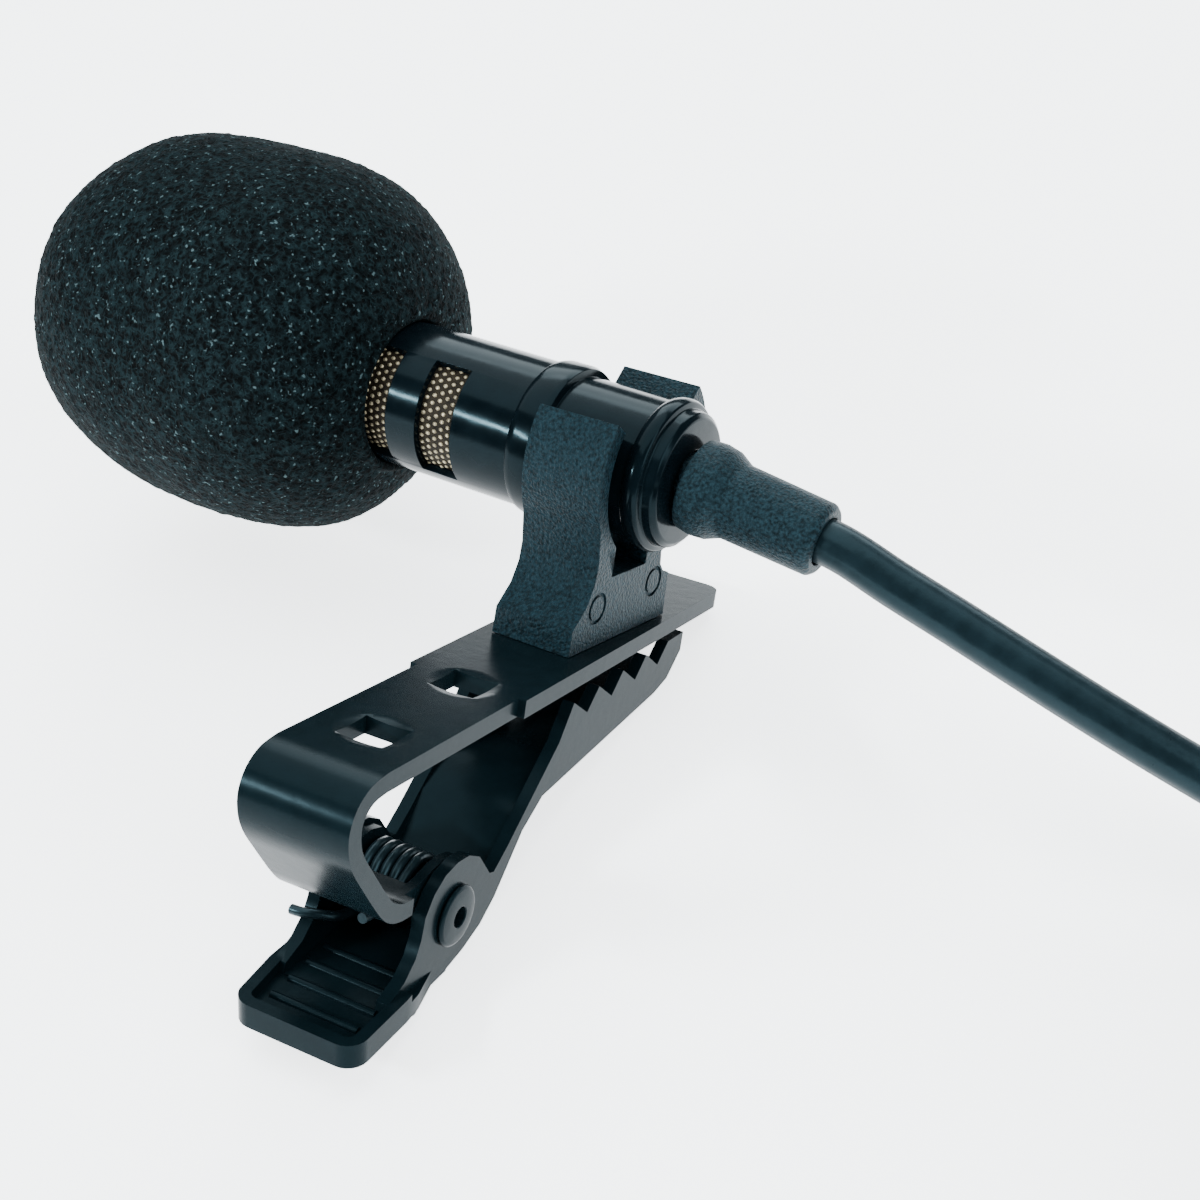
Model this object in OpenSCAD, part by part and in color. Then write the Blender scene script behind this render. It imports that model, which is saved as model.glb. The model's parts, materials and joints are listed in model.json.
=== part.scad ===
// Lavalier microphone on a sprung tie clip, with a foam windscreen,
// its cable and a 3.5 mm jack plug. Millimetres, +Z up. The clip rests on
// the underside of its lower jaw, and +X runs along the microphone towards
// the cable.

/* [Microphone] */
// Diameter of the microphone barrel
barrel_d = 8.4; // [8.2:0.1:8.6]
// Length of the barrel in front of the raised ring
barrel_front = 24; // [20:0.5:26]
// Width of each side window along the barrel
window_w = 2.4; // [1.6:0.1:2.6]
// Angle that each side window covers
window_angle = 98; // [60:2:110]
// Diameter of the bored hole for the capsule
capsule_bore = 6.9; // [6.7:0.1:7]

/* [Windscreen] */
// Outer diameter of the foam windscreen
foam_d = 22.3; // [20:0.1:24]
// Length of the foam windscreen
foam_len = 24.6; // [20:0.2:30]
// How far the foam sits above the microphone's axis
foam_lift = 0.9; // [0:0.1:1.5]

/* [Clip] */
// Width of the upper strip at the hinge end
strip_w = 6.1; // [5.6:0.1:6.4]
// Width of the upper strip at the tip
strip_w_tip = 6.9; // [6.4:0.1:7.4]
// Sheet thickness of the upper strip
strip_t = 1; // [0.8:0.05:1.1]
// Distance from the hinge pin to the tip of the strip
strip_tip = 28.8; // [27:0.2:32]
// Side of the two square holes in the strip
square_hole = 2.6; // [2:0.1:2.8]
// Sheet thickness of the lower jaw
jaw_t = 0.7; // [0.5:0.05:0.8]
// Number of small teeth on each cheek of the lower jaw
teeth = 4; // [2:1:4]

/* [Holder] */
// Length of the C-clamp along the microphone
holder_len = 4.9; // [4:0.1:5.2]
// Outer radius of the C-clamp
holder_r = 5.7; // [5.4:0.1:6]
// Angle of the holder on the strip
holder_turn = -3.5; // [-6:0.5:6]

/* [Cable] */
// Cable diameter
cable_d = 2.6; // [2.4:0.1:2.8]
// Mean diameter of the stored coil
coil_d = 28; // [28:0.5:30]

/* [Hidden] */
$fn = 64;
e = 0.01;

// ---- the underside of the lower jaw, as [y, z] seen along the hinge pin ----
// the pin is at [0, pin_z]; the top face of the strip is z = 0
pin_z = -10.2;
under = [[-8.75, -14.7], [-0.6, -13.45], [1.4, -12.8], [3, -12], [4.2, -10.9],
  [6.4, -7.95], [8.2, -6.6], [11.3, -6], [16, -5.3], [21, -4.6], [22.6, -4.1],
  [24, -2.7]];
heel = under[2];
toe = under[10];
// tilt of the strip when the jaw's heel and toe stand on the table
tilt = atan2(toe[1] - heel[1], toe[0] - heel[0]);
// shift that brings the footprint's middle to the origin
origin_x = 12.39;
origin_y = -9.87;
lift = -(heel[0] * -sin(tilt) + heel[1] * cos(tilt));

// place children of the clip's own frame on the table
module seat() translate([origin_x, origin_y, lift]) rotate([-tilt, 0, 0]) children();

// ---- microphone frame: +X along its axis, towards the cable ----
swivel_y = 16.5;
mic_y = 1.53;
mic_z = 9.375;
mic_s0 = -0.4;
// the microphone's rear hangs a little lower than its front
mic_lean = 1.15;
module hold() seat() translate([0, swivel_y, 0]) rotate([0, 0, holder_turn])
  translate([mic_s0, mic_y, mic_z]) children();
module mic() hold() rotate([0, mic_lean, 0]) children();
// solid turned round the microphone's axis from [s, radius] points
module turned(p, fn = 96) rotate([0, 90, 0]) rotate_extrude($fn = fn)
  polygon([for (q = p) [q[1], q[0]]]);

barrel_r = barrel_d / 2;
ring0 = -4.1;
barrel_s0 = ring0 - barrel_front;
window_s = [-14.65, -10.2];

// barrel: thin front tube, raised ring, and a slimmer rear that the clamp holds
module mic_barrel() color("#15191b") mic() difference() {
  turned([[barrel_s0, 3.75], [barrel_s0, barrel_r - 0.2], [barrel_s0 + 0.2, barrel_r],
    [ring0, barrel_r], [ring0 + 0.12, barrel_r + 0.18], [ring0 + 0.5, barrel_r + 0.28],
    [ring0 + 1.6, barrel_r + 0.28], [ring0 + 1.95, barrel_r + 0.15], [ring0 + 2.05, 3.95],
    [3.2, 3.95], [3.2, 2.9], [-5.5, 2.9], [-5.5, capsule_bore / 2], [-6.6, capsule_bore / 2], [-6.6, 3.75]]);
  for (s = window_s, side = [-1, 1])
    translate([s, 0, 0]) rotate([0, 90, 0]) window_cut(side);
}
// wedge-shaped cutter for one side window
module window_cut(side) linear_extrude(window_w)
  polygon([[0, 0], for (a = [-1:0.25:1]) 6 * [-sin(a * window_angle / 2), side * cos(a * window_angle / 2)]]);

// turned nose cap with a ring of sound holes
module front_cap() color("#15191b") mic() difference() {
  turned([[barrel_s0 - 1.3, 0], [barrel_s0 - 1.3, 3.2], [barrel_s0 - 0.7, barrel_r - 0.05],
    [barrel_s0, barrel_r - 0.05], [barrel_s0, 3.7], [barrel_s0 + 1.2, 3.7], [barrel_s0 + 1.2, 3.2],
    [barrel_s0 - 0.5, 3.2], [barrel_s0 - 0.5, 0]]);
  for (a = [0:60:300]) rotate([a, 0, 0]) translate([barrel_s0 - 2, 0, 1.7]) rotate([0, 90, 0])
    cylinder(h = 3, d = 1.1, $fn = 24);
  translate([barrel_s0 - 2, 0, 0]) rotate([0, 90, 0]) cylinder(h = 3, d = 1.1, $fn = 24);
}

// woven disc inside the nose cap
module front_mesh() color("#8c6f3f") mic()
  turned([[barrel_s0 - 0.5, 0], [barrel_s0 - 0.5, 3.18], [barrel_s0 - 0.25, 3.18], [barrel_s0 - 0.25, 0]], 48);

// woven sleeve behind the side windows
module mesh_screen() color("#8c6f3f") mic()
  turned([[-17, 3.5], [-17, 3.73], [-6.65, 3.73], [-6.65, 3.5]]);

// electret capsule, its gasket, the board and two leads
module capsule() color("silver") mic()
  turned([[barrel_s0 + 1.6, 0], [barrel_s0 + 1.6, 3.1], [barrel_s0 + 1.9, 3.3], [barrel_s0 + 6, 3.3], [barrel_s0 + 6, 0]]);
module capsule_gasket() color("#202020") mic()
  turned([[barrel_s0 + 2.4, 3.32], [barrel_s0 + 2.4, 3.73], [barrel_s0 + 5.2, 3.73], [barrel_s0 + 5.2, 3.32]]);
module capsule_board() color("#1d5b38") mic()
  turned([[barrel_s0 + 6.05, 0], [barrel_s0 + 6.05, 3.2], [barrel_s0 + 6.65, 3.2], [barrel_s0 + 6.65, 0]]);
module capsule_wires() color("#a03020") mic()
  for (y = [-1, 1]) translate([barrel_s0 + 6.7, y, 0]) rotate([0, 90, 0]) cylinder(h = 2.6 - barrel_s0 - 6.7, r = 0.35, $fn = 24);

// rear cap: two rolled flanges and a neck
module end_cap() color("#15191b") mic()
  difference() {
    turned([[-1, 0], [-1, 2.88], [3.2, 2.88], [3.2, 4.1], [3.35, 4.22], [3.65, 4.3], [4, 4.3], [4.25, 4.18],
      [4.35, 3.85], [4.9, 3.78], [5.12, 3.5], [5.2, 2.5], [5.2, 0]]);
    translate([-2, 0, 0]) rotate([0, 90, 0]) cylinder(h = 8, r = 1.8, $fn = 48);
  }

// rubber boot: it droops a little from the rear cap
boot_droop = 6.9;
boot_s = 5.55;
module boot_frame() translate([boot_s, 0, 0]) rotate([0, boot_droop, 0]) rotate([0, 0, boot_yaw]) children();
boot_yaw = 1.5;
module strain_relief() color("#23292b") mic() boot_frame() difference() {
  turned([[-1.2, 0], [-1.2, 1.55], [0, 1.55], [0, 2.55], [0.8, 2.65], [1.6, 2.55], [2.3, 2.2], [2.5, 2.12], [7.6, 2.05], [7.9, 1.8], [7.9, 0]]);
  translate([-2, 0, 0]) rotate([0, 90, 0]) cylinder(h = 12, d = cable_d + 0.1, $fn = 48);
}

// ---- foam windscreen: a blunt egg with a bore for the barrel ----
foam_s1 = -13.2;
foam_s0 = foam_s1 - foam_len;
foam_c = foam_s1 - foam_len * 0.43;
function foam_r(s) = let (h = s < foam_c ? foam_c - foam_s0 : foam_s1 - foam_c, n = s < foam_c ? 2.9 : 2.65)
  foam_d / 2 * pow(max(0, 1 - pow(abs(s - foam_c) / h, n)), 1 / n);
module windscreen() color("#1a2022") mic() difference() {
  translate([0, 0, foam_lift]) turned([[foam_s0, 0],
    for (k = [1:1:23]) let (t = -90 + k * 7.5, s = foam_c + sin(t) * (t < 0 ? foam_c - foam_s0 : foam_s1 - foam_c)) [s, foam_r(s)],
    [foam_s1, foam_r(foam_c + sin(82.5) * (foam_s1 - foam_c))], [foam_s1, 0]]);
  translate([barrel_s0 - 1.6, 0, 0]) rotate([0, 90, 0]) cylinder(h = 40, r = barrel_r + 0.05);
}

// ---- C-clamp holder ----
holder_s0 = -1.95;
holder_s1 = holder_s0 + holder_len;
bore_r = 4;
module holder_outline() difference() {
  union() {
    circle(r = holder_r, $fn = 96);
    polygon([[-6.65, -9.32], [-6.55, -7.85], [-5.4, -6.75], [-4.85, -5.6], [-4.75, -4.5], [-5.1, -2.4],
      [3.2, -2.4], [2.35, -5.2], [2.5, -6], [2.95, -6.5], [3.6, -6.7], [3.75, -9.32]]);
  }
  // mouth at the top, and the relief groove under the bore
  polygon([[0, 0], 9 * [-sin(56), cos(56)], [-9, 12], [9, 12], 9 * [sin(43), cos(43)]]);
  translate([-3.1, -5.55]) square([3.7, 3]);
}
module clip_holder() color("#2b3235") difference() {
  hold() translate([holder_s0, 0, 0]) rotate([90, 0, 90]) linear_extrude(holder_len) holder_outline();
  mic() {
    translate([holder_s0 - 1, 0, 0]) rotate([0, 90, 0]) cylinder(h = holder_len + 2, r = bore_r, $fn = 96);
    // flared mouth of the bore on the cable side
    translate([holder_s1 - 0.9, 0, 0]) rotate([0, 90, 0]) cylinder(h = 1.2, r1 = bore_r, r2 = 5.1, $fn = 96);
  }
  hold() {
    // shallow ejector marks
    for (q = [[-4.2, -7.1], [1.9, -6.9]])
      translate([holder_s1 - 0.12, q[0], q[1]]) rotate([0, 90, 0]) difference() {
        cylinder(h = 1, r = 0.9, $fn = 32);
        translate([0, 0, -1]) cylinder(h = 3, r = 0.68, $fn = 32);
      }
    // hole for the rivet
    translate([-mic_s0, -mic_y, -mic_z - 1]) cylinder(h = 3.15, r = 1.04, $fn = 48);
  }
}
rivet_r = 0.99;
// rivet that the holder swivels on: a peg up into the base and a flat head below
module holder_rivet() color("#3a4145") seat() translate([0, swivel_y, 0]) {
  translate([0, 0, -strip_t - 0.3]) cylinder(h = 0.29, r = 1.7, $fn = 48);
  translate([0, 0, -strip_t - 0.02]) cylinder(h = strip_t + 1.9, r = rivet_r, $fn = 48);
}

// ---- upper clip: one strip of steel from the tip, round the bend, to the ears ----
ear_w = 5;
ear_t = 0.55;
pin_r = 0.9;
strip_path_out = [[-7.3, 0], [-8.6, -0.25], [-9.55, -0.95], [-10, -2], [-9.9, -3.1],
  [-9.4, -4.2], [-8.3, -5.6], [-6.6, -7.6], [-5.6, -8.4], [-4.4, -8.75], [-2.6, -8.8]];
strip_path_in = [[-2.6, -7.9], [-4.2, -7.85], [-5.1, -7.55], [-5.9, -6.95], [-7.5, -5.05],
  [-8.5, -3.8], [-8.9, -3], [-9, -2.1], [-8.7, -1.5], [-8.1, -1.12], [-7.2, -strip_t]];
module clip_side() polygon(concat([[strip_tip, 0], [-4, 0]], smooth(strip_path_out, 4), smooth(strip_path_in, 4), [[-4, -strip_t], [strip_tip, -strip_t]]));
module along_x(w) translate([-w / 2, 0, 0]) rotate([90, 0, 90]) linear_extrude(w) children();
module rounded_tip(w) difference() {
  translate([-w / 2 - 1, strip_tip - 1, -2]) cube([w + 2, 2, 3]);
  for (x = [-1, 1]) translate([x * (w / 2 - 1), strip_tip - 1, -3]) cylinder(h = 5, r = 1, $fn = 32);
  translate([-w / 2 + 1, strip_tip - 2, -3]) cube([w - 2, 2, 5]);
}
module upper_clip() color("#191e20") seat() difference() {
  union() {
    intersection() { along_x(strip_w) clip_side(); translate([-5, -12, -12]) cube([10, 16.61, 13]); }
    intersection() { along_x(strip_w_tip) clip_side(); translate([-5, 4.6, -12]) cube([10, 30, 13]); }
    // the two ears that carry the hinge pin
    for (x = [-ear_w / 2, ear_w / 2 - ear_t]) translate([x, 0, 0]) rotate([90, 0, 90]) linear_extrude(ear_t)
      polygon(concat([[-4.4, -8.75], [-4.3, -7.86], [-2.6, -7.9], [-1.9, -7.8], [-0.9, -7.5], [0.1, -7.4], [1.1, -7.6],
        [1.9, -8.4], [2, -9.4]], [for (a = [0:-20:-180]) [1.75 * cos(a), pin_z + 1.75 * sin(a)]], [[-2, -9.4], [-2.6, -8.9]]));
  }
  rounded_tip(strip_w_tip);
  // the end of the strip narrows to pass between the jaw's cheeks
  for (x = [-1, 1]) translate([x * (ear_w / 2 + 2) - 2, -3.6, -10]) cube([4, 3, 3]);
  // hinge pin holes
  translate([-6, 0, pin_z]) rotate([0, 90, 0]) cylinder(h = 12, r = pin_r - 0.02, $fn = 48);
  // square holes with a pressed dimple round each
  for (y = [4.25, -3.9]) {
    translate([-square_hole / 2, y - square_hole / 2, -3]) cube([square_hole, square_hole, 5]);
    translate([0, y, 9.8]) sphere(r = 10, $fn = 160);
  }
  // rivet hole
  translate([0, swivel_y, -3]) cylinder(h = 5, r = rivet_r - 0.02, $fn = 48);
}

// ---- lower jaw: a pressed channel with toothed cheeks and a ribbed thumb tab ----
jaw_w = 6.7;
tab_w = 7.25;
tab_x = 0.28;
tooth_p = 11.5 / teeth;
// the web's upper face, a sheet thickness above the underside
web_top = [[22.3, -3.4], [20.9, -3.85], [15.9, -4.55], [11.2, -5.25], [7.95, -5.9], [5.95, -7.4],
  [3.7, -10.4], [2.6, -11.3], [1.2, -12], [-0.8, -12.65]];
top_gap = -1.55;
jaw_top = concat([[24, top_gap], [21.95, top_gap - 0.05]],
  [for (i = [0:teeth - 1]) let (y = 21.95 - i * tooth_p) each [[y - tooth_p * 0.38, top_gap - 1.2 - i * 0.1], [y - tooth_p, top_gap - 0.1 * (i + 1)]]],
  [[10.05, -2.6], [9.3, -3.9], [8.2, -5], [6.6, -6.6], [4.9, -8.3], [3.75, -9.3], [3.3, -9.2], [2.85, -8.7], [2, -7.75], [0.9, -7.25],
   [-0.2, -7.2], [-1.3, -7.5], [-2.2, -8.2], [-2.8, -9.2], [-2.95, -10.4], [-3.3, -11.3], [-4.1, -12.2], [-5.4, -12.85]]);
module jaw_side() polygon(concat([for (i = [2:11]) under[i]], jaw_top, [[-5.6, -14.15], under[1]]));
module lower_jaw() color("#191e20") seat() difference() {
  union() {
    difference() {
      along_x(jaw_w) jaw_side();
      along_x(jaw_w - 2 * jaw_t) polygon(concat([[30, -3.4]], web_top, [[-7, -13.62], [-7, 4], [30, 4]]));
    }
    thumb_tab();
  }
  translate([-6, 0, pin_z]) rotate([0, 90, 0]) cylinder(h = 12, r = pin_r + 0.05, $fn = 48);
}
// wide tab for the thumb, with a raised rim and pressed ribs
tab_slope = atan2(under[1][1] - under[0][1], under[1][0] - under[0][0]);
tab_len = 8.4;
// plan of the tab, inset by d: rounded at its free end, narrowing to the cheeks
function tab_plan(d) = let (a = tab_x - tab_w / 2 + d, b = tab_x + tab_w / 2 - d, r = 1.1 - d)
  concat([for (t = [180:15:270]) [a + r + r * cos(t), d + r + r * sin(t)]], [for (t = [270:15:360]) [b - r + r * cos(t), d + r + r * sin(t)]],
    [[b, 4.4], [b - 0.1, 5.6], [jaw_w / 2 - d, 7.4], [jaw_w / 2 - d, tab_len + 0.4], [d - jaw_w / 2, tab_len + 0.4], [d - jaw_w / 2, 7.4], [d - 3.58, 5.6], [d - 3.6, 3.6]]);
module thumb_tab() translate([0, under[0][0], under[0][1]]) rotate([tab_slope, 0, 0]) difference() {
  union() {
    difference() {
      linear_extrude(1.35) polygon(tab_plan(0));
      translate([0, 0, 0.72]) linear_extrude(2) polygon(tab_plan(0.65));
      // the rim steps down into the cheeks
      translate([-5, 4.9, 0.9]) cube([10, 6, 1]);
    }
    // pressed ribs across the floor, and the grip ridges along its underside
    for (i = [0:3]) {
      translate([tab_x, 1.9 + i * 1.45, 0.72]) rotate([0, 90, 0]) cylinder(h = tab_w - 2.2, r = 0.22, center = true, $fn = 16);
      translate([tab_x, 1.4 + i * 1.3, 0.1]) rotate([0, 90, 0]) cylinder(h = tab_w - 0.3, r = 0.32, center = true, $fn = 16);
    }
  }
}

// tubular rivet through the cheeks and ears, with a rolled rim at each end
pin_half = 3.75;
rim_in = jaw_w / 2 + 0.08;
module hinge_pin() color("#2a3134") seat() translate([0, 0, pin_z]) rotate([0, 90, 0]) rotate_extrude($fn = 48)
  polygon([[0.55, -pin_half], [pin_r, -pin_half], [1.5, -pin_half + 0.08], [1.65, -pin_half + 0.2], [1.6, -rim_in], [pin_r, -rim_in],
    [pin_r, rim_in], [1.6, rim_in], [1.65, pin_half - 0.2], [1.5, pin_half - 0.08], [pin_r, pin_half], [0.55, pin_half]]);

// torsion spring: close turns round the pin; one leg hooks over the rear edge
// of a cheek of the jaw, the other presses up under the strip
wire_r = 0.27;
spring_r = 1.78;
spring_z = pin_z + 0.5;
spring_a0 = 260;
spring_a1 = 100 + 5 * 360;
spring_n = 80;
spring_x0 = -1.62;
spring_x1 = 1.05;
function spring_c(i) = let (a = spring_a0 + (spring_a1 - spring_a0) * i / spring_n)
  [spring_x0 + (spring_x1 - spring_x0) * i / spring_n, spring_r * cos(a), spring_z + spring_r * sin(a)];
spring_path = concat([[-3.8, -3.6, -11.05], [-3.2, -3.6, -11], [-2.6, -3.4, -10.95], [-2, -3, -11], [spring_x0 - 0.05, -2.3, -11.15]],
  [for (i = [0:spring_n]) spring_c(i)],
  [[spring_x1 + 0.02, -1.3, -8.45], [spring_x1 + 0.04, -2.1, -9.1], [spring_x1 + 0.08, -3, -9.25], [spring_x1 + 0.1, -5, -9.1]]);
// sweep of a round wire along a path
function unit(v) = v / norm(v);
function ring_at(p, t, r, n, ref) = let (u = unit(cross(t, ref)), v = cross(u, t))
  [for (k = [0:n - 1]) p + r * (cos(k * 360 / n) * u + sin(k * 360 / n) * v)];
module sweep(path, r, n = 8, ref = [0, 0, 1]) {
  m = len(path);
  tang = [for (i = [0:m - 1]) unit(path[min(m - 1, i + 1)] - path[max(0, i - 1)])];
  pts = [for (i = [0:m - 1]) each ring_at(path[i], tang[i], r, n, ref)];
  faces = concat([[for (k = [0:n - 1]) k]], [[for (k = [n - 1:-1:0]) (m - 1) * n + k]],
    [for (i = [0:m - 2], k = [0:n - 1]) let (a = i * n + k, b = i * n + (k + 1) % n) each [[b, a, a + n], [b, a + n, b + n]]]);
  polyhedron(points = pts, faces = faces, convexity = 10);
}
module torsion_spring() color("#3a4246") seat() sweep(spring_path, wire_r, 8, [1, 0, 0]);

// ---- cable: droops from the boot to the table, then lies as a coil with its plug ----
// route of the cable's middle, from the end of the boot to the start of the coil
cable_r = cable_d / 2;
function seat_pt(p) = [origin_x + p[0], origin_y + p[1] * cos(tilt) + p[2] * sin(tilt), lift - p[1] * sin(tilt) + p[2] * cos(tilt)];
function mic_pt(q) = let (p = [q[0] * cos(mic_lean) + q[2] * sin(mic_lean), q[1], q[2] * cos(mic_lean) - q[0] * sin(mic_lean)]) seat_pt([(mic_s0 + p[0]) * cos(holder_turn) - (mic_y + p[1]) * sin(holder_turn),
  swivel_y + (mic_s0 + p[0]) * sin(holder_turn) + (mic_y + p[1]) * cos(holder_turn), mic_z + p[2]]);
function boot_pt(l) = let (c = cos(boot_droop), s = sin(boot_droop), cy = cos(boot_yaw), sy = sin(boot_yaw)) mic_pt([boot_s + l * cy * c, l * sy, -l * cy * s]);
cable_in = boot_pt(-2);
cable_out = boot_pt(7.9);
coil_x = 78;
coil_y = -9.6;
coil_z = 0.6;
turn_w = 4 * cable_d;
coil_r = coil_d / 2;
coil_out = coil_r + 1.5 * cable_d;
route_in = [[29.6, 9, 12.1], [33, 8.75, 11], [37, 8.4, 9.7], [41, 8.15, 8.35], [45, 8, 7],
  [50, 7.9, 5.4], [55, 7.9, 4.1], [60, 7.9, 3.1], [64, 8, 2.5], [68, 8.1, 2.1], [72, 8.2, 1.95]];
route_end = [coil_x, coil_y + coil_out, coil_z + cable_r];
tail_start = [coil_x, coil_y + coil_out, coil_z + cable_r + 3 * cable_d];
plug_at = [100, 10.9, 3.6];
tail_mid = [[82, 8.35, 9.2], [86, 8.4, 7.8], [90, 8.8, 6], [94, 9.5, 4.5], [97, 10.15, 3.8]];
// Catmull-Rom curve through a list of points
function crom(p, i, t) = let (a = p[max(i - 1, 0)], b = p[i], c = p[i + 1], d = p[min(i + 2, len(p) - 1)])
  0.5 * (2 * b + (c - a) * t + (2 * a - 5 * b + 4 * c - d) * t * t + (3 * b - a - 3 * c + d) * t * t * t);
function smooth(p, n = 2) = concat([for (i = [0:len(p) - 2], k = [0:n - 1]) crom(p, i, k / n)], [p[len(p) - 1]]);
cable_path = smooth(concat([cable_in, boot_pt(2.4), boot_pt(6), boot_pt(8.9)], route_in, [route_end]));
module cable() color("#1d2224") sweep(cable_path, cable_r, 8);
module cable_coil() color("#1d2224") translate([coil_x, coil_y, coil_z]) rotate_extrude($fn = 96)
  polygon([[coil_r - turn_w / 2, 1], [coil_r - turn_w / 2 + 1, 0], [coil_r + turn_w / 2 - 1, 0], [coil_r + turn_w / 2, 1],
    [coil_r + turn_w / 2, turn_w - 1], [coil_r + turn_w / 2 - 1, turn_w], [coil_r - turn_w / 2 + 1, turn_w], [coil_r - turn_w / 2, turn_w - 1]]);
// tie round the coil's bundle
tie_t = 0.5;
module cable_tie() color("#101314") translate([coil_x, coil_y, coil_z + turn_w / 2]) rotate([0, 0, -60]) translate([coil_r, 0, 0]) rotate([90, 0, 0])
  linear_extrude(4, center = true) difference() {
    square(turn_w + 0.1 + 2 * tie_t - e, center = true);
    square(turn_w + 0.1 - e, center = true);
  }
module cable_tail() color("#1d2224") sweep(smooth(concat([tail_start], tail_mid, [plug_at, plug_at + plug_dir * 5])), cable_r, 8);

// ---- 3.5 mm jack plug ----
plug_yaw = 14;
plug_dir = [cos(plug_yaw), sin(plug_yaw), 0];
module plug() translate(plug_at) rotate([0, 0, plug_yaw]) children();
module plug_boot() color("#202628") plug() difference() {
  turned([[0, 0], [0, 1.9], [1, 2], [8, 2.7], [8, 0]], 64);
  translate([-1, 0, 0]) rotate([0, 90, 0]) cylinder(h = 6.1, r = cable_r + 0.03, $fn = 48);
}
module plug_shell() color("#15191b") plug() turned([[8.02, 0], [8.02, 3.2], [8.6, 3.55], [9.4, 3.58], [19, 3.58], [19.6, 3.4], [20.2, 3], [20.2, 0]], 64);
module plug_sleeve() color("gold") plug() turned([[20.22, 0], [20.22, 2.9], [20.7, 2.9], [20.7, 1.75], [26.2, 1.75], [26.2, 0]], 64);
module plug_ring() color("gold") plug() turned([[26.92, 0], [26.92, 1.75], [28.8, 1.75], [28.8, 0]], 64);
module plug_tip() color("gold") plug() turned([[29.52, 0], [29.52, 1.6], [30.6, 1.25], [31.4, 1.3], [32.3, 1.72], [34.3, 0.5], [34.5, 0]], 64);
module plug_insulators() color("#101010") plug() for (x = [26.21, 28.81]) turned([[x, 0], [x, 1.74], [x + 0.7, 1.74], [x + 0.7, 0]], 64);

windscreen();
front_cap();
front_mesh();
mic_barrel();
mesh_screen();
capsule();
capsule_gasket();
capsule_board();
capsule_wires();
end_cap();
strain_relief();
clip_holder();
holder_rivet();
upper_clip();
lower_jaw();
hinge_pin();
torsion_spring();
cable();
cable_coil();
cable_tie();
cable_tail();
plug_boot();
plug_shell();
plug_sleeve();
plug_ring();
plug_tip();
plug_insulators();
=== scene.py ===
import json, math, random
import bpy, bmesh
from mathutils import Matrix, Vector, noise


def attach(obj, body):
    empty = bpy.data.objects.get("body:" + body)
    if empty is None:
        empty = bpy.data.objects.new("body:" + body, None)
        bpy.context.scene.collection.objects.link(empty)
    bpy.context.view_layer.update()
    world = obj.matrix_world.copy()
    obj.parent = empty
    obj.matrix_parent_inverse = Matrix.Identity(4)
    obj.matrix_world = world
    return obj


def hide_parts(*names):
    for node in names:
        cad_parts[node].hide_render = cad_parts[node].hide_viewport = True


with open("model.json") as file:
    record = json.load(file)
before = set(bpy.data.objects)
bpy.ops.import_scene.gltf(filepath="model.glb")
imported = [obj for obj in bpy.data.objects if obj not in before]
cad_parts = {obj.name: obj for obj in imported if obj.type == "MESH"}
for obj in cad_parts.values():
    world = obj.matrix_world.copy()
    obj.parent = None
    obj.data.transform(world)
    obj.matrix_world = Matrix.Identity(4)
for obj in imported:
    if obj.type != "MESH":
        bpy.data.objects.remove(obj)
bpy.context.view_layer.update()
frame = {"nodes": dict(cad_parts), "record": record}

N = frame["nodes"]
MM = 0.001
random.seed(4)
scene = bpy.context.scene

# ---- frames of the part, in millimetres in the row frame ----
TILT = math.radians(22.3121)
OX, OY, LIFT = 12.39, -9.87, 12.3732
SEAT = Matrix.Translation((OX, OY, LIFT)) @ Matrix.Rotation(-TILT, 4, "X")
MIC = SEAT @ Matrix.Translation((0, 16.5, 0)) @ Matrix.Rotation(math.radians(-3.5), 4, "Z") @ Matrix.Translation((-0.4, 1.53, 9.375)) @ Matrix.Rotation(math.radians(1.15), 4, "Y")
BOOT = MIC @ Matrix.Translation((5.55, 0, 0)) @ Matrix.Rotation(math.radians(6.9), 4, "Y") @ Matrix.Rotation(math.radians(1.5), 4, "Z")

# ---- camera ----
cam = bpy.data.objects.new("camera", bpy.data.cameras.new("camera"))
scene.collection.objects.link(cam)
scene.camera = cam
cam.data.sensor_width = 36
cam.data.lens = 57.781
cam.data.clip_start, cam.data.clip_end = 0.005, 40
right, up, back = Vector((0.87872, 0.47518, -0.04525)), Vector((-0.27017, 0.57328, 0.77354)), Vector((0.39351, -0.66750, 0.63213))
back.normalize()
right = (right - back * right.dot(back)).normalized()
up = back.cross(right)
turn = Matrix((right, up, back)).transposed().to_4x4()
cam.matrix_world = Matrix.Translation(Vector((55.508, -65.123, 75.087)) * MM) @ turn


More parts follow.
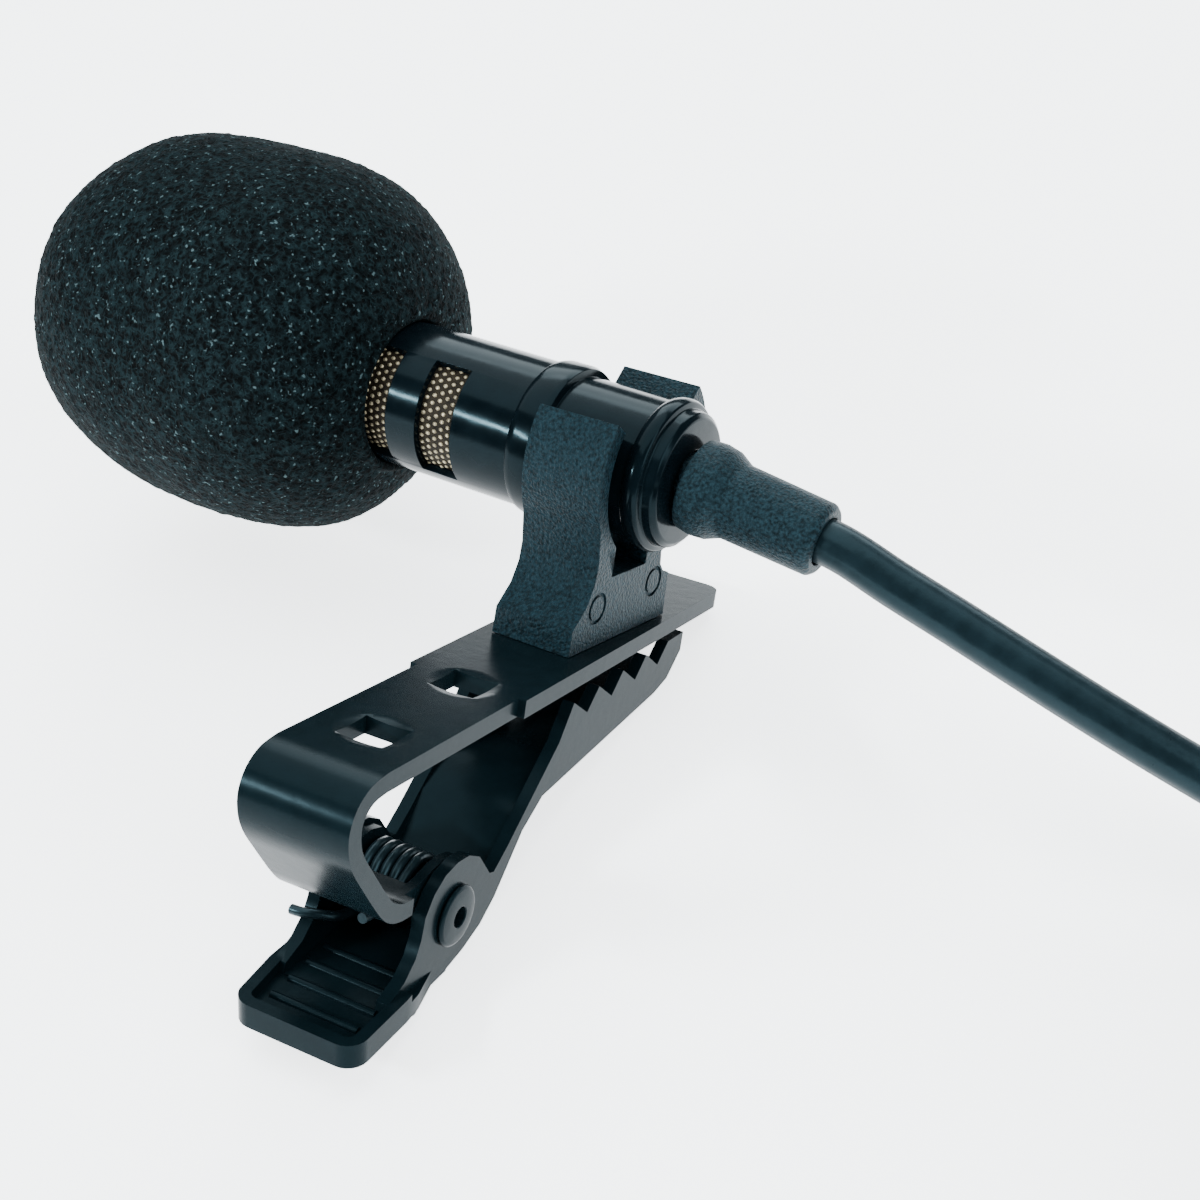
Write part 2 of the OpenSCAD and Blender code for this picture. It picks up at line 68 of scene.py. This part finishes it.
# ---- materials ----
def material(name, base, rough=0.4, metal=0.0, spread=0.15, scale=900, bump=0.0, bump_scale=2500, rough_spread=0.12, coat=0.0, spec=0.5, second=None, ior=1.45, tint=(1, 1, 1), grain=0.0002):
    """A finish with fine colour and gloss variation and a fine grain in its surface."""
    m = bpy.data.materials.new(name)
    m.use_nodes = True
    t = m.node_tree
    b = t.nodes["Principled BSDF"]
    geo = t.nodes.new("ShaderNodeTexCoord")
    n1 = t.nodes.new("ShaderNodeTexNoise")
    n1.inputs["Scale"].default_value = scale
    n1.inputs["Detail"].default_value = 4
    t.links.new(geo.outputs["Object"], n1.inputs["Vector"])
    ramp = t.nodes.new("ShaderNodeValToRGB")
    lo = [max(0, c * (1 - spread)) for c in base]
    hi = [min(1, c * (1 + spread)) for c in (second or base)]
    ramp.color_ramp.elements[0].position = 0.35
    ramp.color_ramp.elements[1].position = 0.65
    ramp.color_ramp.elements[0].color = (*lo, 1)
    ramp.color_ramp.elements[1].color = (*hi, 1)
    t.links.new(n1.outputs["Fac"], ramp.inputs["Fac"])
    t.links.new(ramp.outputs["Color"], b.inputs["Base Color"])
    mr = t.nodes.new("ShaderNodeMapRange")
    mr.inputs["To Min"].default_value = max(0.02, rough - rough_spread / 2)
    mr.inputs["To Max"].default_value = min(1, rough + rough_spread / 2)
    t.links.new(n1.outputs["Fac"], mr.inputs["Value"])
    t.links.new(mr.outputs["Result"], b.inputs["Roughness"])
    b.inputs["Metallic"].default_value = metal
    b.inputs["Specular IOR Level"].default_value = spec
    b.inputs["Coat Weight"].default_value = coat
    b.inputs["IOR"].default_value = ior
    b.inputs["Specular Tint"].default_value = (*tint, 1)
    b.inputs["Coat Roughness"].default_value = 0.08
    if bump:
        n2 = t.nodes.new("ShaderNodeTexNoise")
        n2.inputs["Scale"].default_value = bump_scale
        n2.inputs["Detail"].default_value = 3
        t.links.new(geo.outputs["Object"], n2.inputs["Vector"])
        bp = t.nodes.new("ShaderNodeBump")
        bp.inputs["Strength"].default_value = bump
        bp.inputs["Distance"].default_value = grain
        t.links.new(n2.outputs["Fac"], bp.inputs["Height"])
        t.links.new(bp.outputs["Normal"], b.inputs["Normal"])
    return m


def foam_material():
    """Open-cell foam: struts lighter than the pores, with painted shade in the pores and a few painted glints."""
    m = material("foam_black", (0.002, 0.003, 0.004), rough=0.85, spread=0.5, scale=500, second=(0.004, 0.007, 0.009), ior=1.12)
    t = m.node_tree
    b = t.nodes["Principled BSDF"]
    co = t.nodes.new("ShaderNodeTexCoord")
    warp = t.nodes.new("ShaderNodeTexNoise")
    warp.inputs["Scale"].default_value = 1700
    mix = t.nodes.new("ShaderNodeMixRGB")
    mix.blend_type = "ADD"
    mix.inputs["Fac"].default_value = 0.0011
    t.links.new(co.outputs["Object"], warp.inputs["Vector"])
    t.links.new(co.outputs["Object"], mix.inputs["Color1"])
    t.links.new(warp.outputs["Color"], mix.inputs["Color2"])
    cells = t.nodes.new("ShaderNodeTexVoronoi")
    cells.feature = "DISTANCE_TO_EDGE"
    cells.inputs["Scale"].default_value = 2500
    t.links.new(mix.outputs["Color"], cells.inputs["Vector"])
    # cell edges give the lighter struts; the cell middles are darkened with painted shade for the pores
    ramp = t.nodes.new("ShaderNodeValToRGB")
    ramp.color_ramp.elements[0].position = 0.0
    ramp.color_ramp.elements[0].color = (0.0066, 0.0148, 0.0172, 1)
    ramp.color_ramp.elements[1].position = 0.26
    ramp.color_ramp.elements[1].color = (0.0011, 0.0026, 0.0030, 1)
    t.links.new(cells.outputs["Distance"], ramp.inputs["Fac"])
    # painted glints: small bright specks of painted highlight, added to the base colour
    painted_glint = t.nodes.new("ShaderNodeTexNoise")
    painted_glint.inputs["Scale"].default_value = 3600
    painted_glint.inputs["Detail"].default_value = 1
    t.links.new(co.outputs["Object"], painted_glint.inputs["Vector"])
    painted_glint_ramp = t.nodes.new("ShaderNodeValToRGB")
    painted_glint_ramp.color_ramp.elements[0].position = 0.67
    painted_glint_ramp.color_ramp.elements[0].color = (0, 0, 0, 1)
    painted_glint_ramp.color_ramp.elements[1].position = 0.74
    painted_glint_ramp.color_ramp.elements[1].color = (0.045, 0.07, 0.075, 1)
    t.links.new(painted_glint.outputs["Fac"], painted_glint_ramp.inputs["Fac"])
    blot = t.nodes.new("ShaderNodeTexNoise")
    blot.inputs["Scale"].default_value = 2300
    blot.inputs["Detail"].default_value = 3
    t.links.new(co.outputs["Object"], blot.inputs["Vector"])
    br = t.nodes.new("ShaderNodeValToRGB")
    br.color_ramp.elements[0].position = 0.38
    br.color_ramp.elements[0].color = (0.12, 0.12, 0.12, 1)
    br.color_ramp.elements[1].position = 0.62
    br.color_ramp.elements[1].color = (1, 1, 1, 1)
    t.links.new(blot.outputs["Fac"], br.inputs["Fac"])
    mul = t.nodes.new("ShaderNodeMixRGB")
    mul.blend_type = "MULTIPLY"
    mul.inputs["Fac"].default_value = 0.85
    t.links.new(ramp.outputs["Color"], mul.inputs["Color1"])
    t.links.new(br.outputs["Color"], mul.inputs["Color2"])
    # the painted glint highlights are added on top of the strut and pore colour
    add = t.nodes.new("ShaderNodeMixRGB")
    add.blend_type = "ADD"
    add.inputs["Fac"].default_value = 1.0
    t.links.new(mul.outputs["Color"], add.inputs["Color1"])
    t.links.new(painted_glint_ramp.outputs["Color"], add.inputs["Color2"])
    t.links.new(add.outputs["Color"], b.inputs["Base Color"])
    bp = t.nodes.new("ShaderNodeBump")
    bp.invert = True
    bp.inputs["Strength"].default_value = 0.7
    bp.inputs["Distance"].default_value = 0.00025
    t.links.new(cells.outputs["Distance"], bp.inputs["Height"])
    t.links.new(bp.outputs["Normal"], b.inputs["Normal"])
    return m


GLOSS = material("gloss_black", (0.0014, 0.0032, 0.0044), rough=0.16, bump=0.05, bump_scale=700, ior=1.165, tint=(0.5, 0.86, 1.0))
STEEL = material("black_steel", (0.0022, 0.0056, 0.0072), rough=0.25, rough_spread=0.05, spread=0.1, bump=0.03, bump_scale=1500, ior=1.13, tint=(0.5, 0.86, 1.0))
MOULD = material("moulded_black", (0.0032, 0.0092, 0.0126), rough=0.45, spread=0.8, scale=5600, bump=0.85, bump_scale=6200, ior=1.21, grain=0.00014, tint=(0.5, 0.86, 1.0))
BOOTM = material("soft_black", (0.0046, 0.0114, 0.015), rough=0.47, spread=0.8, scale=5600, bump=0.85, bump_scale=6200, ior=1.21, grain=0.00014, tint=(0.5, 0.86, 1.0))
CABLE = material("cable_black", (0.0042, 0.009, 0.0115), rough=0.3, bump=0.12, bump_scale=1400, ior=1.25, tint=(0.5, 0.86, 1.0))
FOAM = foam_material()
MESH = material("mesh_bronze", (0.34, 0.29, 0.19), rough=0.35, metal=0.7, spread=0.45, scale=2600, bump=0.1)
# the screen behind the weave crowns is near-black: painted shade for the gaps in the weave
MESH_SHADE_BACK = material("mesh_back_painted_shade", (0.012, 0.009, 0.005), rough=0.6, metal=0.2, spread=0.5, scale=2600, bump=0.3, ior=1.2)
TIN = material("capsule_tin", (0.55, 0.55, 0.57), rough=0.35, metal=1, bump=0.1)
GREEN = material("board_green", (0.02, 0.12, 0.05), rough=0.5, bump=0.1)
RED = material("lead_red", (0.35, 0.05, 0.03), rough=0.5, bump=0.1)
SPRING = material("spring_steel", (0.004, 0.008, 0.01), rough=0.3, bump=0.1, ior=1.3, tint=(0.5, 0.86, 1.0))
GOLD = material("plug_gold", (0.78, 0.56, 0.22), rough=0.2, metal=1, spread=0.05, bump=0.03)
RUBBER = material("tie_rubber", (0.003, 0.004, 0.005), rough=0.6, bump=0.4, ior=1.25)
COAT = {"front_cap": GLOSS, "front_mesh": MESH, "mic_barrel": GLOSS, "mesh_screen": MESH_SHADE_BACK, "capsule": TIN, "capsule_gasket": RUBBER,
        "capsule_board": GREEN, "capsule_wires": RED, "end_cap": GLOSS, "strain_relief": BOOTM, "clip_holder": MOULD, "holder_rivet": STEEL,
        "upper_clip": STEEL, "lower_jaw": STEEL, "hinge_pin": STEEL, "plug_boot": BOOTM, "plug_shell": GLOSS, "plug_sleeve": GOLD,
        "plug_ring": GOLD, "plug_tip": GOLD, "plug_insulators": MOULD}


# ---- cord: the cable with its stored length, from the boot to the plug ----
def row(m, x=0, y=0, z=0):
    return m @ Vector((x, y, z))


def catmull(p, i, t):
    a, b, c, d = p[max(i - 1, 0)], p[i], p[i + 1], p[min(i + 2, len(p) - 1)]
    return 0.5 * (2 * b + (c - a) * t + (2 * a - 5 * b + 4 * c - d) * t * t + (3 * b - a - 3 * c + d) * t ** 3)


def dense(p, n):
    return [catmull(p, i, k / n) for i in range(len(p) - 1) for k in range(n)] + [p[-1]]


CD = 2.6
COIL = Vector((78, -9.6, 0))
Z0 = 0.6 + CD / 2
route = [row(BOOT, l) for l in (-2, 2.4, 6, 8.9)] + [Vector(p) for p in (
    (29.6, 9, 12.1), (33, 8.75, 11), (37, 8.4, 9.7), (41, 8.15, 8.35), (45, 8, 7), (50, 7.9, 5.4), (55, 7.9, 4.1),
    (60, 7.9, 3.1), (64, 8, 2.5), (68, 8.1, 2.1), (72, 8.2, 1.95), (78, 8.3, Z0))]
line = dense(route, 8)
seats = []
for layer in range(4):
    radii = [17.9, 15.3, 12.7, 10.1]
    if layer % 2:
        radii.reverse()
    seats += [(r, Z0 + layer * CD) for r in radii]
STEP = 40
for k, (r, z) in enumerate(seats):
    r2, z2 = seats[k + 1] if k + 1 < len(seats) else (r, z)
    for i in range(1, STEP + 1):
        a = math.radians(90 - 360 * i / STEP)
        w = max(0, (i / STEP - 0.85) / 0.15)
        w = w * w * (3 - 2 * w)
        rr = r + (r2 - r) * w
        line.append(COIL + Vector((rr * math.cos(a), rr * math.sin(a), z + (z2 - z) * w)))
PYAW = math.radians(14)
PLUG = Matrix.Translation((100, 10.9, 3.6)) @ Matrix.Rotation(PYAW, 4, "Z")
tail = [Vector((78, 8.3, Z0 + 3 * CD))] + [Vector(p) for p in ((82, 8.35, 9.2), (86, 8.4, 7.8), (90, 8.8, 6), (94, 9.5, 4.5), (97, 10.15, 3.8))] + [row(PLUG, 0), row(PLUG, 4.8)]
line += dense(tail, 8)[1:]


def curve_piece(name, pts, radius, mat, res=6, cyclic=False, cap=True):
    c = bpy.data.curves.new(name, "CURVE")
    c.dimensions = "3D"
    c.bevel_depth = radius * MM
    c.bevel_resolution = res
    c.use_fill_caps = cap
    s = c.splines.new("POLY")
    s.points.add(len(pts) - 1)
    for p, q in zip(s.points, pts):
        p.co = (q[0] * MM, q[1] * MM, q[2] * MM, 1)
    s.use_cyclic_u = cyclic
    s.use_smooth = True
    o = bpy.data.objects.new(name, c)
    scene.collection.objects.link(o)
    c.materials.append(mat)
    return o


cable = curve_piece("cable_run", line, CD / 2, CABLE, res=4)
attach(cable, "holder")
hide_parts("cable", "cable_coil", "cable_tail")


# ---- helpers for turned, cut and copied pieces ----
def finish_mesh(name, bm, mat, body, slot=None, sharp=35, keep_smooth=True):
    me = bpy.data.meshes.new(name)
    for f in bm.faces:
        f.smooth = True
    for e in bm.edges:
        e.smooth = not (len(e.link_faces) == 2 and e.calc_face_angle(0) > math.radians(sharp))
    bm.to_mesh(me)
    bm.free()
    me.materials.append(mat)
    o = bpy.data.objects.new(name, me)
    scene.collection.objects.link(o)
    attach(o, body)
    return o


def bevelled(node, width, mat=None, segments=3, dissolve=1.5, limit=30, join=2e-7):
    """The CAD solid with its real edges rounded over."""
    src = N[node]
    bm = bmesh.new()
    bm.from_mesh(src.data)
    bm.transform(src.matrix_world)
    bmesh.ops.remove_doubles(bm, verts=bm.verts, dist=join)
    bmesh.ops.dissolve_degenerate(bm, dist=join, edges=bm.edges)
    bmesh.ops.dissolve_limit(bm, angle_limit=math.radians(dissolve), verts=bm.verts, edges=bm.edges)
    o = finish_mesh(node + "_shape", bm, mat or COAT[node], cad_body[node], sharp=limit)
    m = o.modifiers.new("edge", "BEVEL")
    m.width = width * MM
    m.segments = segments
    m.limit_method = "ANGLE"
    m.angle_limit = math.radians(limit)
    m.miter_outer = "MITER_ARC"
    m.use_clamp_overlap = True
    w = o.modifiers.new("flat", "WEIGHTED_NORMAL")
    w.mode = "FACE_AREA"
    w.weight = 50
    w.keep_sharp = True
    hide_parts(node)
    return o


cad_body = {n: b for b, names in frame["record"]["behaviour"]["bodies"].items() for n in names}


def turned(name, prof, m, mat, body, seg=128, sharp=35):
    """A closed profile of [along, radius] turned round the local X axis."""
    bm = bmesh.new()
    rings = []
    for s, r in prof:
        if r < 1e-6:
            rings.append([bm.verts.new(row(m, s) * MM)])
        else:
            rings.append([bm.verts.new(row(m, s, r * math.cos(2 * math.pi * k / seg), r * math.sin(2 * math.pi * k / seg)) * MM) for k in range(seg)])
    for a, b in zip(rings, rings[1:]):
        for k in range(seg):
            k2 = (k + 1) % seg
            if len(a) == 1 and len(b) == 1:
                continue
            if len(a) == 1:
                bm.faces.new((a[0], b[k2], b[k]))
            elif len(b) == 1:
                bm.faces.new((a[k], a[k2], b[0]))
            else:
                bm.faces.new((a[k], a[k2], b[k2], b[k]))
    bmesh.ops.recalc_face_normals(bm, faces=bm.faces)
    return finish_mesh(name, bm, mat, body, sharp=sharp)


# ---- foam windscreen ----
FS1, FLEN, FR, FLIFT = -13.2, 24.6, 11.15, 0.9
FS0 = FS1 - FLEN
FC = FS1 - FLEN * 0.43


def foam_r(t):
    """Point on the blunt egg's outline at angle t from the nose to the rear."""
    h = FC - FS0 if t < 0 else FS1 - FC
    s = math.sin(t)
    k = abs(s)
    n = 2.9 if t < 0 else 2.65
    return FC + (1 if s > 0 else -1) * h * k ** 0.82 if k else FC, FR * max(0.0, 1 - (k ** 0.82) ** n) ** (1 / n)


def foam():
    bm = bmesh.new()
    seg = 260
    rings = []
    steps = 170
    top = math.radians(86)
    for i in range(steps + 1):
        t = -math.pi / 2 + (top + math.pi / 2) * i / steps
        s, r = foam_r(t)
        if t > 0 and r < 5.6:
            break
        if i == 0:
            rings.append(("pole", s, 0.0, FLIFT))
        else:
            rings.append(("ring", s, r, FLIFT))
    # the rear turns in to the bore with a soft lip, then the bore runs forward round the barrel
    s_end, r_end = rings[-1][1], rings[-1][2]
    for k in range(1, 13):
        w = k / 12
        rings.append(("ring", s_end + 0.45 * math.sin(w * math.pi / 2), r_end + (4.55 - r_end) * w, FLIFT * (1 - w)))
    outer = len(rings)
    for s, r in ((FS1 - 0.35, 4.33), (FS1 - 0.8, 4.26), (FS1 - 4, 4.25), (FS1 - 8, 4.25), (FS1 - 12, 4.25), (-29.6, 4.25)):
        rings.append(("ring", s, r, 0.0))
    rings.append(("pole", -29.7, 0.0, 0.0))
    made = []
    for kind, s, r, lift in rings:
        if kind == "pole":
            made.append([bm.verts.new(row(MIC, s, 0, lift) * MM)])
        else:
            made.append([bm.verts.new(row(MIC, s, r * math.cos(2 * math.pi * k / seg), lift + r * math.sin(2 * math.pi * k / seg)) * MM) for k in range(seg)])
    for a, b in zip(made, made[1:]):
        for k in range(seg):
            k2 = (k + 1) % seg
            if len(a) == 1:
                bm.faces.new((a[0], b[k2], b[k]))
            elif len(b) == 1:
                bm.faces.new((a[k], a[k2], b[0]))
            else:
                bm.faces.new((a[k], a[k2], b[k2], b[k]))
    bmesh.ops.recalc_face_normals(bm, faces=bm.faces)
    bm.normal_update()
    centre = row(MIC, FC, 0, FLIFT) * MM
    for ring in made[:outer - 2]:
        for v in ring:
            p = v.co / MM
            d = 0.16 * (noise.noise(p * 0.16) + 0.3 * noise.noise(p * 0.5))
            d += 0.075 * noise.noise(p * 2.6) + 0.05 * noise.noise(p * 4.5 + Vector((7, 3, 1)))
            v.co += v.normal * d * MM
    o = finish_mesh("foam_cover", bm, FOAM, "windscreen", sharp=180)
    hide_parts("windscreen")
    return o


foam_obj = foam()

# ---- microphone, clip, holder and plug from their solids, with rounded edges ----
for node, w in (("mic_barrel", 0.12), ("end_cap", 0.07), ("strain_relief", 0.12), ("clip_holder", 0.14), ("holder_rivet", 0.08),
                ("upper_clip", 0.16), ("lower_jaw", 0.16), ("hinge_pin", 0.06), ("front_cap", 0.1), ("plug_boot", 0.15),
                ("plug_sleeve", 0.08), ("plug_ring", 0.05), ("plug_tip", 0.06)):
    bevelled(node, w, dissolve=3 if node == "lower_jaw" else 1.5, join=8e-6 if node == "lower_jaw" else 2e-7)
for node in ("front_mesh", "mesh_screen", "capsule", "capsule_gasket", "capsule_board", "capsule_wires", "plug_insulators"):
    N[node].data.materials.clear()
    N[node].data.materials.append(COAT[node])

# ---- woven mesh in the side windows: rows of small crowns ----
def weave():
    bm = bmesh.new()
    pitch = 0.44
    for s0 in (-14.65, -10.2):
        for side in (-1, 1):
            rows_n = int(2.9 / pitch)
            for i in range(rows_n):
                s = s0 - 0.25 + i * pitch
                count = int(math.radians(112) * 3.73 / pitch)
                for j in range(count):
                    a = math.radians(-56) + (j + (0.5 if i % 2 else 0)) * pitch / 3.73
                    m = MIC @ Matrix.Translation((s, 0, 0)) @ Matrix.Rotation(a if side > 0 else math.pi + a, 4, "X") @ Matrix.Translation((0, 3.73, 0))
                    mm = Matrix.Scale(MM, 4) @ m @ Matrix.Diagonal((0.17, 0.08, 0.13, 1))
                    bmesh.ops.create_icosphere(bm, subdivisions=1, radius=1, matrix=mm)
    o = finish_mesh("weave_crowns", bm, MESH, "microphone", sharp=180)
    return o


weave()

# ---- torsion spring ----
def spring_pts():
    """The coil and the leg that bears on the clip."""
    pts = []
    a0, a1, n = 260, 100 + 5 * 360, 240
    for i in range(n + 1):
        a = math.radians(a0 + (a1 - a0) * i / n)
        pts.append((-1.62 + 2.67 * i / n, 1.78 * math.cos(a), -9.7 + 1.78 * math.sin(a)))
    pts += [(1.07, -1.3, -8.45), (1.09, -2.1, -9.1), (1.13, -3, -9.25), (1.15, -5, -9.1)]
    return [row(SEAT, *p) for p in dense([Vector(p) for p in pts], 2)]


def leg_pts():
    """The leg that bears on the jaw, with the first part of the coil's turn that slides with it."""
    pts = [(-3.8, -3.6, -11.05), (-3.2, -3.6, -11), (-2.6, -3.4, -10.95), (-2, -3, -11), (-1.67, -2.3, -11.15)]
    for i in range(7):
        a = math.radians(260 + 6 * i)
        pts.append((-1.62 + 2.67 * 6 * i / 1640, 1.78 * math.cos(a), -9.7 + 1.78 * math.sin(a)))
    return [row(SEAT, *p) for p in dense([Vector(p) for p in pts], 3)]


spring = curve_piece("spring_wire", spring_pts(), 0.27, SPRING, res=4)
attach(spring, "clip")
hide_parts("torsion_spring")
leg = curve_piece("spring_leg", leg_pts(), 0.27, SPRING, res=4)
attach(leg, "jaw")

# ---- plug shell with a knurled band, and the tie ----
shell = [(8.02, 0), (8.02, 3.05), (8.2, 3.2), (8.6, 3.5), (9.0, 3.58)]
for k in range(14):
    s = 9.6 + k * 0.62
    shell += [(s, 3.58), (s + 0.12, 3.44), (s + 0.3, 3.44), (s + 0.42, 3.58)]
shell += [(19, 3.58), (19.4, 3.5), (19.8, 3.3), (20.1, 3.1), (20.2, 2.9), (20.2, 0)]
sh = turned("plug_shell_turned", shell, PLUG, GLOSS, "holder", sharp=40)
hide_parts("plug_shell")


def tie():
    half = CD * 4 / 2 + 0.05 + 0.22
    m = Matrix.Translation((78, -9.6, 0.6 + CD * 2)) @ Matrix.Rotation(math.radians(-60), 4, "Z") @ Matrix.Translation((14, 0, 0))
    bm = bmesh.new()
    loops = []
    n, c = 8, 1.2
    path = []
    for cx, cz, a0 in ((1, 1, 0), (-1, 1, 90), (-1, -1, 180), (1, -1, 270)):
        for k in range(n + 1):
            a = math.radians(a0 + 90 * k / n)
            path.append((cx * (half - c) + c * math.cos(a), cz * (half - c) + c * math.sin(a), math.cos(a), math.sin(a)))
    for x, z, nx, nz in path:
        sec = [(-2, 0.0), (-1.9, 0.2), (0, 0.24), (1.9, 0.2), (2, 0.0), (1.9, -0.2), (0, -0.22), (-1.9, -0.2)]
        loops.append([bm.verts.new(row(m, x + nx * h, w, z + nz * h) * MM) for w, h in sec])
    for a, b in zip(loops, loops[1:] + loops[:1]):
        for k in range(8):
            bm.faces.new((a[k], b[k], b[(k + 1) % 8], a[(k + 1) % 8]))
    bmesh.ops.recalc_face_normals(bm, faces=bm.faces)
    o = finish_mesh("tie_strap", bm, RUBBER, "holder", sharp=50)
    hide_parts("cable_tie")
    return o


tie_obj = tie()

# ---- stage and light ----
me = bpy.data.meshes.new("floor")
bm = bmesh.new()
bmesh.ops.create_grid(bm, x_segments=2, y_segments=2, size=12)
bm.to_mesh(me)
bm.free()
floor = bpy.data.objects.new("floor", me)
scene.collection.objects.link(floor)
me.materials.append(material("floor_pale", (0.93, 0.935, 0.94), rough=0.9, spread=0.004, rough_spread=0.02, spec=0.1))
fm = me.materials[0].node_tree.nodes["Principled BSDF"]
fm.inputs["Emission Color"].default_value = (0.97, 0.985, 1.0, 1)
fm.inputs["Emission Strength"].default_value = 2.6
world = bpy.data.worlds.new("studio")
scene.world = world
world.use_nodes = True
world.node_tree.nodes["Background"].inputs["Color"].default_value = (0.55, 0.85, 1.0, 1)
world.node_tree.nodes["Background"].inputs["Strength"].default_value = 0.25


def lamp(name, where, target, size, power, colour=(1, 1, 1), size_y=None):
    d = bpy.data.lights.new(name, "AREA")
    d.energy = power
    d.color = colour
    d.shape = "RECTANGLE"
    d.size = size * MM
    d.size_y = (size_y or size) * MM
    o = bpy.data.objects.new(name, d)
    scene.collection.objects.link(o)
    o.location = Vector(where) * MM
    o.rotation_mode = "QUATERNION"
    o.rotation_quaternion = ((Vector(target) - Vector(where)).to_track_quat("-Z", "Y"))
    return o


lamp("key", (-120, 60, 520), (0, 0, 10), 700, 6.0, (0.95, 0.985, 1))
lamp("fill", (330, -60, 260), (10, 0, 10), 300, 1.9, (0.9, 0.97, 1))
lamp("rim", (-60, 340, 240), (10, 0, 10), 400, 1.8, (0.85, 0.96, 1), 200)
lamp("strip", (-138, -175, 132), (7, 7, 16), 70, 0.85, (0.9, 0.97, 1), 12)
